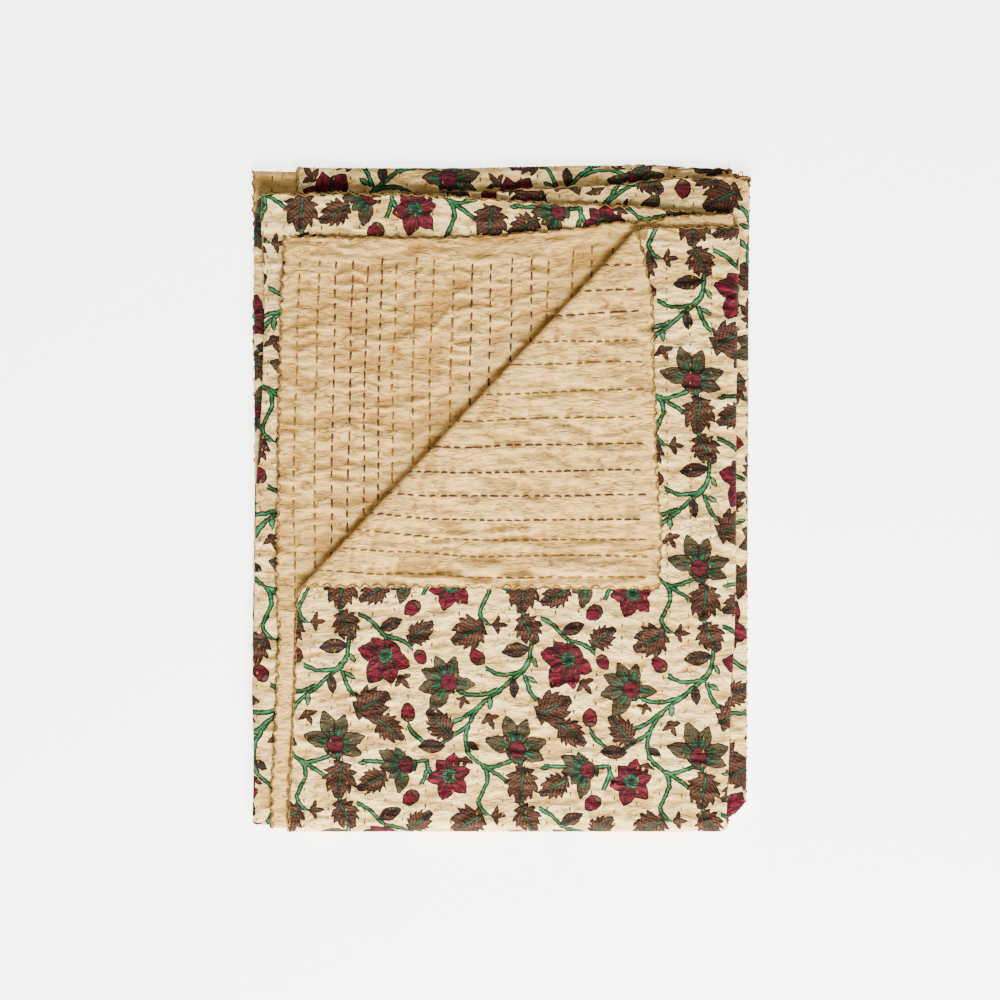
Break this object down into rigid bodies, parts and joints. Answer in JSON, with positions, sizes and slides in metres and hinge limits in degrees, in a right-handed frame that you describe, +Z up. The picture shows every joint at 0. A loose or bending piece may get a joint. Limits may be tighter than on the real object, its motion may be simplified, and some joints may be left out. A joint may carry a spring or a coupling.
{
  "type": "kantha quilt",
  "caption": "Folded kantha quilt with a floral printed face and a plain stitched back, one corner of its top layer turned back, lying flat.",
  "frame": {"origin": "on the surface that the quilt rests on, under the middle of its outline", "axes": "+Z up from the surface, +Y along the packet from its bottom fold to its open end, +X to the right seen from above with the open end away"},
  "size_m": [0.5756, 0.7696, 0.0412],
  "materials": {
    "printed_cotton": "block printed cotton, matt, cream ground with green vines, crimson and olive flowers and brown leaves",
    "plain_cotton": "plain woven beige cotton, matt and softly crinkled",
    "brown_thread": "brown cotton thread, matt",
    "mustard_thread": "mustard cotton thread, matt"
  },
  "bodies": {
    "root": {"printed_face": "printed_cotton", "plain_back": "plain_cotton"}
  },
  "joints": []
}
